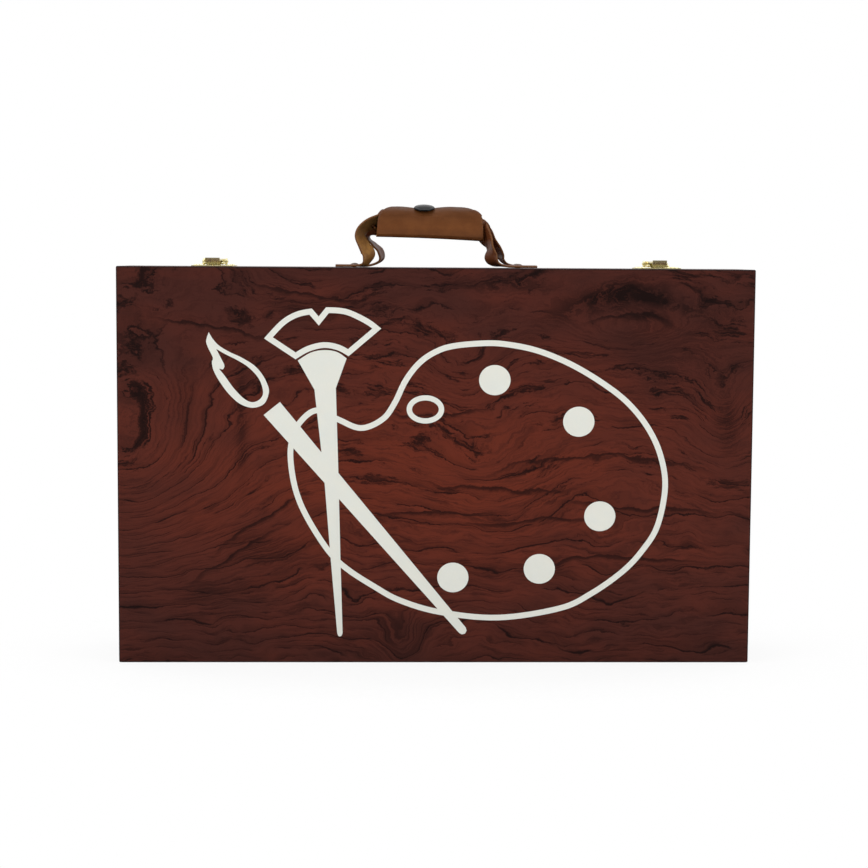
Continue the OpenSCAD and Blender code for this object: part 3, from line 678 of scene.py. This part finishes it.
def print_plate(name, loops, lift, material):
    """A film of ink on the lid's face. loops: an (x, z) outline, then any holes in it."""
    front, back = FACE_Y / MM - lift, FACE_Y / MM + INK_SUNK
    flat = [Vector(p) for loop in loops for p in loop]
    faces = [tuple(t) for t in tessellate_polygon([[(p[0], p[1], 0) for p in loop]
                                                   for loop in loops])]
    count = len(flat)
    points = [(p.x, front, p.y) for p in flat] + [(p.x, back, p.y) for p in flat]
    faces += [tuple(i + count for i in reversed(f)) for f in faces]
    start = 0
    for loop in loops:
        size = len(loop)
        for i in range(size):
            a, b = start + i, start + (i + 1) % size
            faces.append((a, b, b + count, a + count))
        start += size
    piece = add_piece(name, points, faces, [material], smooth=False)
    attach(piece, "lid")
    return piece


def strap_section(across):
    """Outline of a strap's cut, as (place across, face), each from -1 to 1: the grain side,
    one rounded edge, the flesh side and the other edge."""
    grain = [(-1 + 2 * i / across, 1) for i in range(across + 1)]
    flesh = [(1 - 2 * i / across, -1) for i in range(across + 1)]
    return grain + [(EDGE_BULGE, 0)] + flesh + [(-EDGE_BULGE, 0)]


def ribbon_faces(rings, size):
    """Faces of a closed tube of rings, and each one's kind: 0 grain, 1 flesh, 2 cut edge."""
    faces, kinds = [], []
    for i in range(rings - 1):
        for k in range(size):
            a, b = i * size + k, i * size + (k + 1) % size
            faces.append((a, b, b + size, a + size))
            kinds.append(0 if k < STRAP_ACROSS else
                         1 if STRAP_ACROSS + 2 <= k < 2 * STRAP_ACROSS + 2 else 2)
    for end in (0, (rings - 1) * size):
        faces.append(tuple(range(end, end + size)))
        kinds.append(2)
    return faces, kinds


def ribbon(name, stations, thickness, materials, steps=8):
    """A strap swept through stations, each (place, direction of its width, width).

    materials are the hide's grain side, its flesh side and its cut edge. The grain side is
    to the left of the path, seen along the width.
    """
    path = spline([Vector((*place, *across, width)) for place, across, width in stations], steps)
    section, points = strap_section(STRAP_ACROSS), []
    for i, s in enumerate(path):
        here = Vector(s[:3])
        run = Vector(path[min(i + 1, len(path) - 1)][:3]) - Vector(path[max(i - 1, 0)][:3])
        run.normalize()
        side = Vector(s[3:6])
        side = (side - run * run.dot(side)).normalized()
        out = run.cross(side)
        for u, v in section:
            cup = STRAP_CUP * (1 - u * u)
            points.append(here + side * (u * s[6] / 2) + out * (v * thickness / 2 + cup))
    faces, kinds = ribbon_faces(len(path), len(section))
    return add_piece(name, points, faces, materials, kinds)


def sheet_rim(columns, rows, index):
    """Numbers of the points round a sheet's border, in order."""
    rim = [index(u, 0) for u in range(columns + 1)]
    rim += [index(columns, v) for v in range(1, rows + 1)]
    rim += [index(u, rows) for u in range(columns - 1, -1, -1)]
    return rim + [index(0, v) for v in range(rows - 1, 0, -1)]


def sheet(name, columns, rows, place, thickness, materials):
    """A curved sheet of hide. place(u, v) gives its outer face in mm for u, v from 0 to 1,
    and the sheet lies under it."""
    outer = [[Vector(place(u / columns, v / rows)) for v in range(rows + 1)]
             for u in range(columns + 1)]

    def inward(u, v):
        along = outer[min(u + 1, columns)][v] - outer[max(u - 1, 0)][v]
        down = outer[u][min(v + 1, rows)] - outer[u][max(v - 1, 0)]
        return down.cross(along).normalized()

    def index(u, v):
        return u * (rows + 1) + v

    points = [p for line in outer for p in line]
    points += [outer[u][v] + inward(u, v) * thickness
               for u in range(columns + 1) for v in range(rows + 1)]
    count = (columns + 1) * (rows + 1)
    faces, kinds = [], []
    for u in range(columns):
        for v in range(rows):
            quad = (index(u, v), index(u + 1, v), index(u + 1, v + 1), index(u, v + 1))
            faces += [quad, tuple(i + count for i in reversed(quad))]
            kinds += [0, 1]
    rim = sheet_rim(columns, rows, index)
    for a, b in zip(rim, rim[1:] + rim[:1]):
        faces.append((a, b, b + count, a + count))
        kinds.append(2)
    return add_piece(name, points, faces, materials, kinds)


def lathe(name, profile, place, axis, material, around=48):
    """A turned shape: profile is (radius, height) from the middle of its top to its foot."""
    turn = Vector(axis).to_track_quat("Z", "Y").to_matrix()
    points = [Vector(place) + turn @ Vector((0, 0, profile[0][1]))]
    for radius, height in profile[1:]:
        for k in range(around):
            a = 2 * math.pi * k / around
            points.append(Vector(place) + turn @ Vector(
                (radius * math.cos(a), radius * math.sin(a), height)))
    faces = [(0, 1 + k, 1 + (k + 1) % around) for k in range(around)]
    for ring in range(len(profile) - 2):
        start = 1 + ring * around
        for k in range(around):
            a, b = start + k, start + (k + 1) % around
            faces.append((a, b, b + around, a + around))
    last = 1 + (len(profile) - 2) * around
    faces.append(tuple(range(last, last + around)))
    return add_piece(name, points, faces, [material])


# ---- the picture on the lid ----

PALETTE_LINE = [
    (-86, 152.5), (-75.5, 160.5), (-62.5, 155.2), (-47.5, 149.5), (-34, 155), (-26.5, 165),
    (-19.5, 179.5), (-11, 190.5), (-1, 197.5), (11, 201.4), (32.5, 203.2), (48, 201.9),
    (64.5, 198.2), (84, 190.3), (103.5, 179),
    (120, 166.5), (133, 151), (141.5, 133.5), (145, 113), (140.5, 88), (131, 72),
    (118.5, 58.5), (99, 44.5), (79, 35), (40, 29), (3, 32.5), (-22.5, 40), (-39, 49),
    (-56.5, 60.5), (-68, 72), (-81, 92.5), (-88, 109), (-91.3, 126.5), (-91, 140)]
PAINT_DOTS = [(36.5, 180), (89.7, 154), (103.8, 94), (65.8, 60.3), (11, 54.7)]
DOT_RADII = (9.9, 9.5)
THUMB_PLACE, THUMB_OUTER, THUMB_INNER = (-7, 161.4), (11.8, 8.9), (8.4, 5.6)
LINE_WIDTH = 3.6
# The fan's outline: left, the notch's foot, right, and the foot's curve
FAN_ARCS = [
    ((-108.1, 205.5), (-98.7, 215.6), (-92, 220.4), (-85.4, 223), (-78.3, 224.3)),
    ((-74, 219.3),),
    ((-69.4, 225.1), (-61, 224.8), (-53.5, 223.1), (-42.3, 217.6), (-34.9, 212)),
    ((-55.3, 194.6), (-62, 198.2), (-70.5, 199.7), (-80, 197.4), (-88.4, 192.5))]
FAN_HANDLE_TOP = [(-87, 191.8), (-79, 196.7), (-70.5, 198.4), (-62.5, 197.2), (-56.5, 193.2)]
FAN_HANDLE = [
    (-63.2, 174.5), (-61.5, 119.8), (-60.2, 69), (-58.7, 19), (-59.3, 17.3), (-60.4, 16.7),
    (-61.5, 17.3), (-62.1, 19), (-66.5, 69), (-70.6, 119.8), (-76.6, 173.5)]
ROUND_HANDLE = [
    (-98.2, 165.7), (19.4, 22.6), (20, 20.6), (19, 18.7), (17, 18.2), (15.2, 19.2),
    (-108.4, 157.5)]
ROUND_TIP = [
    (-140.2, 205.2), (-136.3, 201), (-129.8, 197), (-122, 193.4), (-114.2, 188.5),
    (-109.2, 182.9), (-106, 176.7), (-105.1, 171.5), (-108.1, 164.5), (-115.3, 162),
    (-123.1, 164.4), (-129.9, 170.4), (-135.1, 177.2), (-139.4, 184.8), (-140.6, 190.5),
    (-140, 193.3), (-143.2, 200.1), (-144.1, 204), (-142.5, 209.2)]
ROUND_BOWL = [
    (-137.9, 198.8), (-132.4, 195.6), (-124.6, 191.7), (-117.5, 187.1), (-111.2, 180),
    (-108.7, 172), (-110.6, 167.5), (-115.3, 165.5), (-120.8, 167.8), (-127.3, 174.6),
    (-132.5, 181.8), (-135.9, 186.2), (-133.8, 186), (-132.8, 188.4), (-134.4, 192)]
# How far each layer of ink stands out of the face: later layers lie over earlier ones
LINE_LIFT, SHAPE_LIFT, FAN_HANDLE_LIFT, ROUND_HANDLE_LIFT = 0.10, 0.12, 0.14, 0.17


def ellipse(middle, radii, count=64):
    return [Vector((middle[0] + radii[0] * math.cos(2 * math.pi * k / count),
                    middle[1] + radii[1] * math.sin(2 * math.pi * k / count)))
            for k in range(count)]


def curve(points, steps, closed=False):
    return spline([Vector(p) for p in points], steps, closed)


def make_palette_print(ink):
    centre = curve(PALETTE_LINE, 8, closed=True)
    print_plate("print_palette_line", [offset_loop(centre, LINE_WIDTH / 2),
                                       offset_loop(centre, -LINE_WIDTH / 2)], LINE_LIFT, ink)
    print_plate("print_thumb_ring", [ellipse(THUMB_PLACE, THUMB_OUTER),
                                     ellipse(THUMB_PLACE, THUMB_INNER)], SHAPE_LIFT, ink)
    for number, place in enumerate(PAINT_DOTS, 1):
        print_plate(f"print_dot_{number}", [ellipse(place, DOT_RADII)], SHAPE_LIFT, ink)


def make_brush_prints(ink):
    fan = [p for arc in FAN_ARCS for p in curve(arc, 4)]
    print_plate("print_fan_outline", [fan, offset_loop(fan, -LINE_WIDTH)], SHAPE_LIFT, ink)
    print_plate("print_fan_handle", [[*curve(FAN_HANDLE_TOP, 4), *FAN_HANDLE]],
                FAN_HANDLE_LIFT, ink)
    print_plate("print_round_handle", [ROUND_HANDLE], ROUND_HANDLE_LIFT, ink)
    print_plate("print_round_tip", [curve(ROUND_TIP, 5), curve(ROUND_BOWL, 5)], SHAPE_LIFT, ink)


# ---- handle ----

FLAT, STRAP_T = (0, 1, 0), 1.2
FRONT_STRAP = [
    ((-63.9, -18, 250.9), FLAT, 12.3), ((-57, -18, 250.9), FLAT, 12.5),
    ((-50.5, -18, 251), FLAT, 12.5), ((-46.4, -17.8, 251.9), (0.28, 0.95, 0), 12.5),
    ((-44.2, -17.4, 254.8), (0.42, 0.9, 0.05), 12.5),
    ((-43.4, -17.1, 259), (0.66, 0.75, 0.1), 12.3),
    ((-45.8, -16.8, 263.7), (0.55, 0.8, 0.1), 12), ((-48.2, -16.2, 269), (0.5, 0.8, -0.05), 12),
    ((-47.4, -15.4, 273), (0.35, 0.85, -0.35), 12), ((-43.8, -14, 276.6), (0.12, 0.82, -0.55), 11.8),
    ((-38.2, -11.8, 278.6), (0, 0.68, -0.7), 12), ((-33, -12, 278), (0, 0.15, -1), 12.3),
    ((-4, -11.8, 277.3), (0, 0, -1), 12.5), ((25, -12, 275.3), (0, -0.1, -1), 12.3),
    ((28.6, -12.6, 274.2), (-0.2, 0.4, -0.9), 12), ((32.6, -15, 268.2), (-0.36, 0.9, -0.3), 11.8),
    ((34.1, -16.6, 262.6), (-0.24, 0.95, 0), 12), ((34.8, -17.4, 256.6), (-0.6, 0.8, 0.05), 12.5),
    ((38.2, -17.8, 252.8), (-0.42, 0.9, 0), 12.5), ((44, -18, 251.2), FLAT, 12.5),
    ((49, -18, 250.9), FLAT, 12.5), ((56, -18, 250.9), FLAT, 12.5),
    ((63.6, -18, 250.9), FLAT, 12.3)]
REAR_STRAP = [
    ((-63.9, -2, 250.9), FLAT, 12.3), ((-52, -2, 250.9), FLAT, 12.5),
    ((-43, -2, 251), FLAT, 12.5), ((-37.2, -2.1, 252.9), (0.05, 1, 0), 12.5),
    ((-34.6, -2.4, 256), (0.2, 0.95, 0), 12.4), ((-35.8, -2.9, 260.6), (0.3, 0.9, 0), 12),
    ((-39.6, -3.3, 264.4), (0.35, 0.9, -0.1), 12), ((-43, -3.8, 268), (0.3, 0.9, -0.3), 12),
    ((-42.4, -5.4, 271.2), (0.1, 0.75, -0.6), 12), ((-38.2, -7.8, 274.8), (0, 0.55, -0.8), 12),
    ((-34, -8.3, 277.4), (0, 0.1, -1), 12.2), ((-4, -8.4, 277.3), (0, 0, -1), 12.5),
    ((24, -8.2, 276), (0, 0, -1), 12.4), ((29.8, -7.4, 272.4), (-0.15, 0.45, -0.9), 12),
    ((33.6, -5.2, 267.2), (-0.4, 0.75, -0.5), 12), ((38.2, -3.8, 262.9), (-0.42, 0.9, -0.15), 12),
    ((41, -3, 258.9), (-0.3, 0.9, 0), 12), ((42, -2.4, 255.8), (-0.18, 1, 0), 12.4),
    ((45.4, -2.1, 252.6), (-0.05, 1, 0), 12.5), ((51, -2, 251.1), FLAT, 12.5),
    ((57, -2, 250.9), FLAT, 12.5), ((63.6, -2, 250.9), FLAT, 12.3)]

# The front strap twists under the grip: its pale flesh side shows only to the left of this
FLESH_UNTIL_X = 28.5

GRIP_LEFT, GRIP_RIGHT = -38.0, 29.8
ARCH_Z, FLAP_R, HIDE_T = 281.7, 6.8, 1.4
FOLD_Z, FOLD_R, FOLD_SAG = 270.8, 2.4, 1.5
CORNER_Z, CORNER_H, CORNER_LEFT, CORNER_RIGHT = 280, 8.5, 9, 14
# The flap: share of its length up the front, turn over the arch in degrees, narrowing in mm
FRONT_SHARE, FLAP_TURN, TONGUE_TAPER, FRONT_BELLY = 0.42, 128, 2.0, 0.5
SNAP = Vector((-7.8, -12.1, 287.95))
SNAP_TILT, SNAP_DROP = math.radians(17), 0.2
# The cap's outline: radius, height
SNAP_PROFILE = [
    (0, 1.4), (1.4, 1.37), (2.8, 1.25), (4.0, 1.05), (5.0, 0.78), (5.4, 0.66), (5.7, 0.64),
    (6.1, 0.62), (6.45, 0.42), (6.65, 0.1), (6.6, -0.2), (6.3, -0.5), (5.6, -0.62),
    (1.5, -0.65), (1.5, -1.6)]


def sag(x):
    """How far the grip's underside hangs at x, against its level."""
    from_left = x - GRIP_LEFT
    return -0.035 * from_left + 0.4 * math.sin(math.pi * from_left / (GRIP_RIGHT - GRIP_LEFT))


def make_straps(leather):
    grain, flesh, edge = leather
    for name, stations, body, node in (
            ("handle_strap_front_hide", FRONT_STRAP, "lid", "handle_strap_front"),
            ("handle_strap_rear_hide", REAR_STRAP, "base", "handle_strap_rear")):
        piece = ribbon(name, stations, STRAP_T, [grain, flesh, edge])
        for face in piece.data.polygons:
            right_part = face.center.x > FLESH_UNTIL_X * MM
            if face.material_index == 1 and (right_part or body == "base"):
                face.material_index = 0
        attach(piece, body)
        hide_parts(node)


def grip_ends(z):
    """Left and right ends of the grip's hide at height z: its upper corners are rounded."""
    height = min(max(0.0, (z - CORNER_Z) / CORNER_H), 1.0)
    pull = 1 - math.sqrt(1 - height * height)
    return GRIP_LEFT + CORNER_LEFT * pull, GRIP_RIGHT - CORNER_RIGHT * pull


def snap_dent(point):
    """The hide is pressed down under the snap and bulges round it."""
    away = (Vector((point.x, point.y, 0)) - Vector((SNAP.x, SNAP.y, 0))).length
    return -1.1 * math.exp(-(away / 8.5) ** 2) + 0.25 * math.exp(-((away - 16) / 5.5) ** 2)


def flap_place(u, v):
    """Outer face of the flap: up the front, over the arch and down to the tongue's end."""
    if v < FRONT_SHARE:
        s = v / FRONT_SHARE
        y = SEAM_Y / MM - FLAP_R
        z = FOLD_Z + (ARCH_Z - FOLD_Z) * s
        y -= FRONT_BELLY * math.sin(math.pi * s)
        angle = -90.0
    else:
        s = (v - FRONT_SHARE) / (1 - FRONT_SHARE)
        angle = -90 + FLAP_TURN * s
        y = SEAM_Y / MM + FLAP_R * math.sin(math.radians(angle))
        z = ARCH_Z + FLAP_R * math.cos(math.radians(angle))
    left, right = grip_ends(z if angle < 0 else ARCH_Z + FLAP_R)
    taper = TONGUE_TAPER * s if angle > 0 else 0.0
    left += 1.2 * (z - FOLD_Z) / 18 + taper
    right -= 1.0 * (z - FOLD_Z) / 18 + taper
    x = left + (right - left) * u
    point = Vector((x, y, z + sag(x) * max(0.0, (ARCH_Z + 4 - z) / 16)))
    if angle > -80:
        normal = Vector((0, math.sin(math.radians(angle)), math.cos(math.radians(angle))))
        point += normal * snap_dent(point)
    return point


# The wrap's outline, as (y, z) from the middle of the arch
WRAP_OUTLINE = curve([(-4.6, 1.8), (-3.2, 4.1), (0, 5.2), (3.4, 3.9), (5.1, 0.4), (5.5, -6),
                      (5.2, -11.6), (4.2, -12.0), (0, -12.4), (-3.6, -12.3)], 4)


def wrap_place(u, v):
    """Outer face of the wrap under the flap: inner arch, back, and underside to the fold."""
    spot = WRAP_OUTLINE[round(v * (len(WRAP_OUTLINE) - 1))]
    left, right = grip_ends(ARCH_Z + spot.y)
    x = left - 0.3 + (right - left + 0.6) * u
    hang = sag(x) * max(0.0, (4 - spot.y) / 16)
    return Vector((x, SEAM_Y / MM + spot.x, ARCH_Z + spot.y + hang))


def fold_place(u, v):
    """The bend that joins the underside to the front."""
    angle = math.radians(v * 90)
    x = GRIP_LEFT + (GRIP_RIGHT - GRIP_LEFT) * u
    y = SEAM_Y / MM - FLAP_R + FOLD_R - FOLD_R * math.sin(angle) - 0.02
    z = FOLD_Z - FOLD_SAG + FOLD_R - FOLD_R * math.cos(angle)
    return Vector((x, y, z + sag(x)))


def make_grip(leather, flap_leather):
    flap = sheet("grip_flap_hide", 56, 44, flap_place, HIDE_T, [flap_leather, *leather[1:]])
    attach(flap, "grip_flap")
    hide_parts("grip_flap")
    wrap = sheet("grip_wrap_hide", 40, 36, wrap_place, HIDE_T, leather)
    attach(wrap, "base")
    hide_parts("grip_wrap")
    fold = sheet("grip_fold_hide", 40, 8, fold_place, HIDE_T, [flap_leather, *leather[1:]])
    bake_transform(fold)


def make_snap(black):
    cap = lathe("snap_cap_turned", SNAP_PROFILE, SNAP - Vector((0, 0, SNAP_DROP)),
                (0, -math.sin(SNAP_TILT), math.cos(SNAP_TILT)), black)
    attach(cap, "grip_flap")
    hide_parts("snap_cap")


# ---- the CAD nodes' own finishes ----

# Width of the softened edges in m, and the starts of the names of the nodes that have them
SOFT_EDGES = [
    (0.0009, ("lid_panel", "base_panel")),
    (0.00025, ("lid_rail", "base_rail", "lid_side", "base_side")),
    (0.0005, ("canvas_ledge", "canvas_clamp", "mast_track", "palette_runner", "divider_")),
    (0.0002, ("latch_plate", "catch_plate", "latch_lever", "knee_nut")),
]

PALETTE_EDGE = 0.0005


def soften_edges(node, width):
    weld = node.modifiers.new("weld", "WELD")
    weld.merge_threshold = 1e-6
    bevel = node.modifiers.new("bevel", "BEVEL")
    bevel.width = width
    bevel.segments = 3
    bevel.limit_method = "ANGLE"
    bevel.angle_limit = math.radians(40)
    bevel.harden_normals = True
    bevel.use_clamp_overlap = True


def finish_nodes(by_slot, exceptions):
    for entry in frame["record"]["subparts"]:
        name = entry["node"]
        node = nodes[name]
        node.data.materials.clear()
        node.data.materials.append(exceptions.get(name, by_slot[entry["material_slot"]]))
    for width, starts in SOFT_EDGES:
        for name in nodes:
            if name.startswith(starts):
                soften_edges(nodes[name], width)
    soften_edges(nodes["palette"], PALETTE_EDGE)


def make_leathers():
    """The hide's sides and its cut edges, by name."""
    return {
        "grain": leather_material(
            "leather_grain", [srgb(92, 48, 24), srgb(104, 56, 28), srgb(112, 62, 32)], 0.36,
            grain=0.1),
        # The flap's height tones are painted shade: the rounded grip is darker towards its top and
        # towards its underside at the fold.
        "flap": leather_material(
            "leather_flap", [srgb(108, 60, 22), srgb(118, 67, 26), srgb(123, 70, 28)], 0.42,
            grain=0.06, painted_shade=[
                (266, 0.45), (268.5, 0.62), (271, 0.9), (275, 1.0), (281, 0.78), (288, 0.5)]),
        # The flesh side's height tones are painted shade: it is darker towards the top, where it goes
        # under the grip.
        "flesh": leather_material(
            "leather_flesh", [srgb(132, 88, 42), srgb(166, 118, 58), srgb(178, 130, 70)], 0.5,
            grain=0.12, painted_shade=[(252, 0.85), (258, 1.0), (266, 0.9), (270, 0.6), (276, 0.3)]),
        "edge": raw_edge_material("leather_edge", srgb(138, 92, 52), srgb(74, 42, 27)),
        "raw": raw_edge_material("leather_edge_raw", srgb(214, 172, 122), srgb(150, 104, 64)),
    }


def make_studio():
    make_camera()
    make_world()
    make_floor()
    for light in LIGHTS:
        make_area_light(*light)


def build():
    make_studio()
    beech = timber_material("beech_oiled", srgb(222, 184, 134), srgb(196, 150, 98), 0.42)
    beech_up = timber_material("beech_upright", srgb(220, 182, 132), srgb(194, 148, 96), 0.42,
                               upright=True)
    birch = timber_material("birch_sanded", srgb(216, 178, 126), srgb(190, 146, 92), 0.5)
    brass = brass_material()
    hide = make_leathers()
    black = enamel_material("snap_enamel", (0.003, 0.003, 0.004), (0.008, 0.008, 0.009), 0.16,
                            specular=0.14)
    bronze = enamel_material("rivet_bronze", srgb(84, 58, 44), srgb(124, 92, 64), 0.34,
                             specular=0.4)
    by_slot = {
        "case_veneer": case_material(), "inner_wood": beech, "palette_wood": birch,
        "brass": brass, "leather": hide["grain"], "snap_black": black, "rivet_dark": bronze,
        "felt": felt_material()}
    finish_nodes(by_slot, {"mast_track": beech_up, "divider_short_left": beech_up,
                           "divider_short_right": beech_up})
    ink = ink_material()
    make_palette_print(ink)
    make_brush_prints(ink)
    make_straps((hide["grain"], hide["flesh"], hide["edge"]))
    make_grip([hide["grain"], hide["flesh"], hide["raw"]], hide["flap"])
    make_snap(black)


build()
